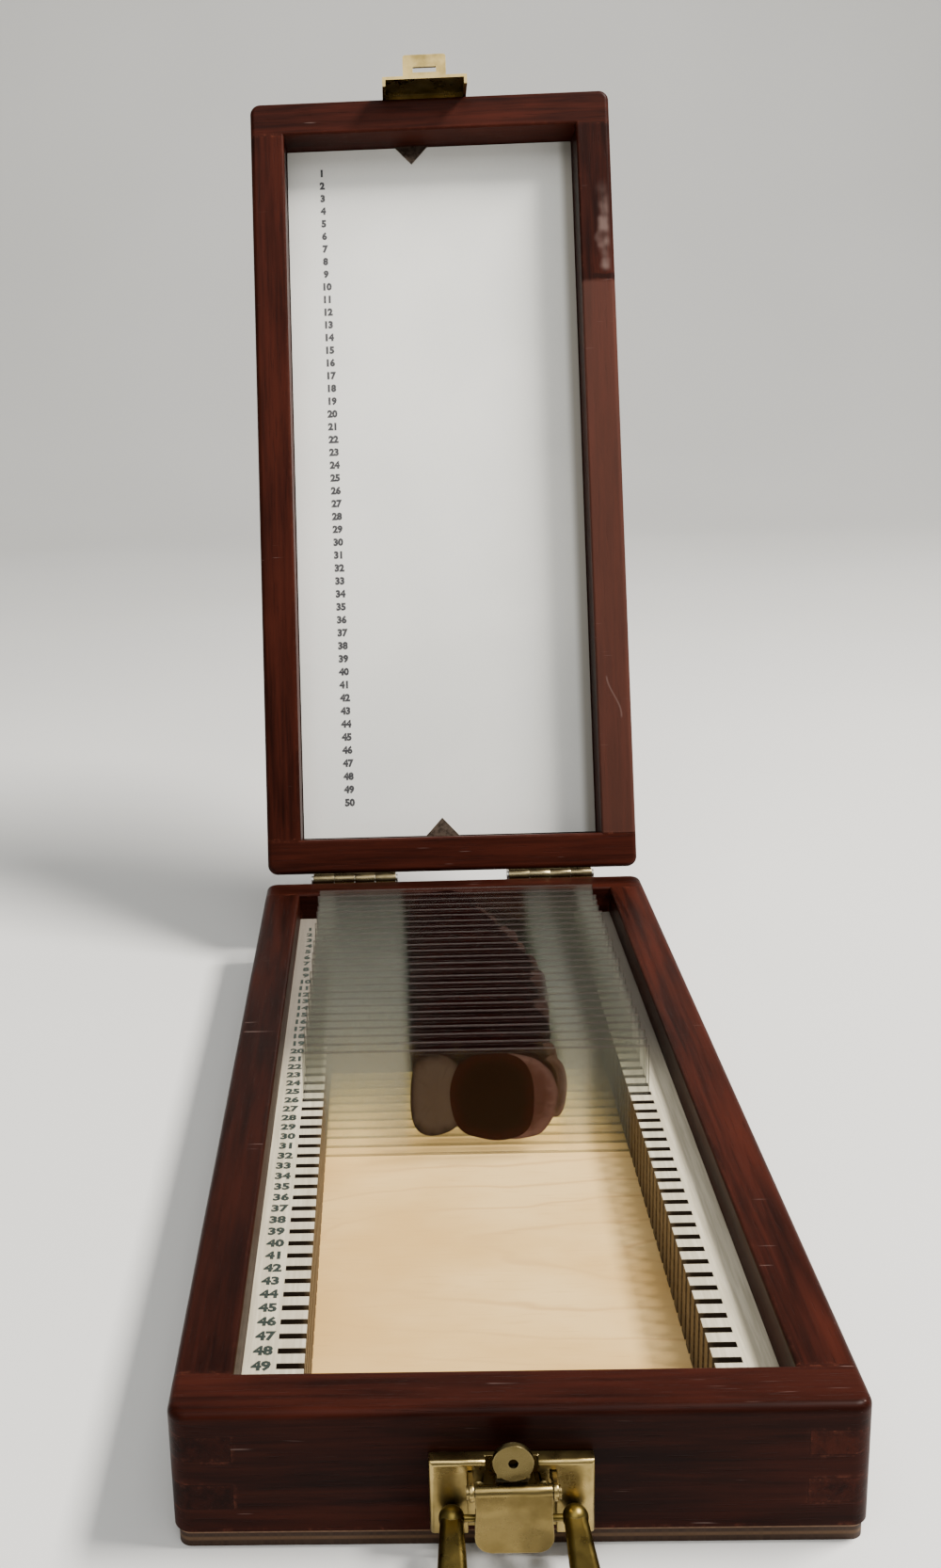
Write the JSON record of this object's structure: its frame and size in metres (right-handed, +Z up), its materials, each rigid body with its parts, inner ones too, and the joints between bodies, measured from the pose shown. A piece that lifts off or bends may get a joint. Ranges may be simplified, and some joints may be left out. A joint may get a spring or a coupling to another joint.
{
  "type": "microscope slide box",
  "caption": "Hinged wooden storage box for microscope slides, lid open, with numbered slots, index card and brass draw latch.",
  "frame": {"origin": "centre of the box's underside, on the table", "axes": "+X to the right seen from the front, +Y to the back where the hinges are, +Z up"},
  "size_m": [0.108, 0.3382, 0.2588],
  "materials": {
    "wood_stained": "dark mahogany stain, satin varnish",
    "plywood": "bare birch plywood",
    "rack_wood": "bare pale wood, painted numbers",
    "brass": "thin lacquered brass, lightly tarnished",
    "steel": "plain steel wire",
    "card": "matte off-white index card",
    "glass": "clear microscope glass"
  },
  "bodies": {
    "base": {"base_front": "wood_stained", "base_back": "wood_stained", "base_left": "wood_stained", "base_right": "wood_stained", "base_bottom": "plywood", "bottom_brads": "steel", "rack_left": "rack_wood", "rack_right": "rack_wood", "hinge_lower_left": "brass", "hinge_lower_right": "brass", "hinge_pin_left": "steel", "hinge_pin_right": "steel", "hinge_screws_lower": "brass", "latch_plate": "brass", "latch_eye": "brass", "plate_nails": "brass", "lever_pin": "brass"},
    "lid": {"lid_front": "wood_stained", "lid_back": "wood_stained", "lid_left": "wood_stained", "lid_right": "wood_stained", "lid_panel": "wood_stained", "index_card": "card", "card_points": "brass", "hinge_upper_left": "brass", "hinge_upper_right": "brass", "hinge_screws_upper": "brass", "latch_strike": "brass", "strike_nails": "brass"},
    "lever": {"latch_lever": "brass", "bail_rivets": "brass"},
    "bail": {"latch_bail": "brass"},
    "slide_01": {"slide_01": "glass"},
    "slide_02": {"slide_02": "glass"},
    "slide_03": {"slide_03": "glass"},
    "slide_04": {"slide_04": "glass"},
    "slide_05": {"slide_05": "glass"},
    "slide_06": {"slide_06": "glass"},
    "slide_07": {"slide_07": "glass"},
    "slide_08": {"slide_08": "glass"},
    "slide_09": {"slide_09": "glass"},
    "slide_10": {"slide_10": "glass"},
    "slide_11": {"slide_11": "glass"},
    "slide_12": {"slide_12": "glass"},
    "slide_13": {"slide_13": "glass"},
    "slide_14": {"slide_14": "glass"},
    "slide_15": {"slide_15": "glass"},
    "slide_16": {"slide_16": "glass"},
    "slide_17": {"slide_17": "glass"},
    "slide_18": {"slide_18": "glass"},
    "slide_19": {"slide_19": "glass"},
    "slide_20": {"slide_20": "glass"},
    "slide_21": {"slide_21": "glass"},
    "slide_22": {"slide_22": "glass"},
    "slide_23": {"slide_23": "glass"},
    "slide_24": {"slide_24": "glass"},
    "slide_25": {"slide_25": "glass"},
    "slide_26": {"slide_26": "glass"}
  },
  "joints": [
    {"name": "lid_hinge", "type": "hinge", "parent": "base", "child": "lid", "pos_m": [0, 0.11795, 0.0247], "axis": [1, 0, 0], "range_deg": [0, 108]},
    {"name": "lever_pivot", "type": "hinge", "parent": "base", "child": "lever", "pos_m": [-0.0012, -0.12185, 0.0146], "axis": [1, 0, 0], "range_deg": [-90, 0]},
    {"name": "bail_pivot", "type": "hinge", "parent": "lever", "child": "bail", "pos_m": [-0.0012, -0.12085, 0.0092], "axis": [-1, 0, 0], "range_deg": [-40, 83.2]},
    {"name": "slide_01_lift", "type": "slide", "parent": "base", "child": "slide_01", "axis": [0, 0, -1], "range_m": [-0.03, 0]},
    {"name": "slide_02_lift", "type": "slide", "parent": "base", "child": "slide_02", "axis": [0, 0, -1], "range_m": [-0.03, 0]},
    {"name": "slide_03_lift", "type": "slide", "parent": "base", "child": "slide_03", "axis": [0, 0, -1], "range_m": [-0.03, 0]},
    {"name": "slide_04_lift", "type": "slide", "parent": "base", "child": "slide_04", "axis": [0, 0, -1], "range_m": [-0.03, 0]},
    {"name": "slide_05_lift", "type": "slide", "parent": "base", "child": "slide_05", "axis": [0, 0, -1], "range_m": [-0.03, 0]},
    {"name": "slide_06_lift", "type": "slide", "parent": "base", "child": "slide_06", "axis": [0, 0, -1], "range_m": [-0.03, 0]},
    {"name": "slide_07_lift", "type": "slide", "parent": "base", "child": "slide_07", "axis": [0, 0, -1], "range_m": [-0.03, 0]},
    {"name": "slide_08_lift", "type": "slide", "parent": "base", "child": "slide_08", "axis": [0, 0, -1], "range_m": [-0.03, 0]},
    {"name": "slide_09_lift", "type": "slide", "parent": "base", "child": "slide_09", "axis": [0, 0, -1], "range_m": [-0.03, 0]},
    {"name": "slide_10_lift", "type": "slide", "parent": "base", "child": "slide_10", "axis": [0, 0, -1], "range_m": [-0.03, 0]},
    {"name": "slide_11_lift", "type": "slide", "parent": "base", "child": "slide_11", "axis": [0, 0, -1], "range_m": [-0.03, 0]},
    {"name": "slide_12_lift", "type": "slide", "parent": "base", "child": "slide_12", "axis": [0, 0, -1], "range_m": [-0.03, 0]},
    {"name": "slide_13_lift", "type": "slide", "parent": "base", "child": "slide_13", "axis": [0, 0, -1], "range_m": [-0.03, 0]},
    {"name": "slide_14_lift", "type": "slide", "parent": "base", "child": "slide_14", "axis": [0, 0, -1], "range_m": [-0.03, 0]},
    {"name": "slide_15_lift", "type": "slide", "parent": "base", "child": "slide_15", "axis": [0, 0, -1], "range_m": [-0.03, 0]},
    {"name": "slide_16_lift", "type": "slide", "parent": "base", "child": "slide_16", "axis": [0, 0, -1], "range_m": [-0.03, 0]},
    {"name": "slide_17_lift", "type": "slide", "parent": "base", "child": "slide_17", "axis": [0, 0, -1], "range_m": [-0.03, 0]},
    {"name": "slide_18_lift", "type": "slide", "parent": "base", "child": "slide_18", "axis": [0, 0, -1], "range_m": [-0.03, 0]},
    {"name": "slide_19_lift", "type": "slide", "parent": "base", "child": "slide_19", "axis": [0, 0, -1], "range_m": [-0.03, 0]},
    {"name": "slide_20_lift", "type": "slide", "parent": "base", "child": "slide_20", "axis": [0, 0, -1], "range_m": [-0.03, 0]},
    {"name": "slide_21_lift", "type": "slide", "parent": "base", "child": "slide_21", "axis": [0, 0, -1], "range_m": [-0.03, 0]},
    {"name": "slide_22_lift", "type": "slide", "parent": "base", "child": "slide_22", "axis": [0, 0, -1], "range_m": [-0.03, 0]},
    {"name": "slide_23_lift", "type": "slide", "parent": "base", "child": "slide_23", "axis": [0, 0, -1], "range_m": [-0.03, 0]},
    {"name": "slide_24_lift", "type": "slide", "parent": "base", "child": "slide_24", "axis": [0, 0, -1], "range_m": [-0.03, 0]},
    {"name": "slide_25_lift", "type": "slide", "parent": "base", "child": "slide_25", "axis": [0, 0, -1], "range_m": [-0.03, 0]},
    {"name": "slide_26_lift", "type": "slide", "parent": "base", "child": "slide_26", "axis": [0, 0, -1], "range_m": [-0.03, 0]}
  ]
}
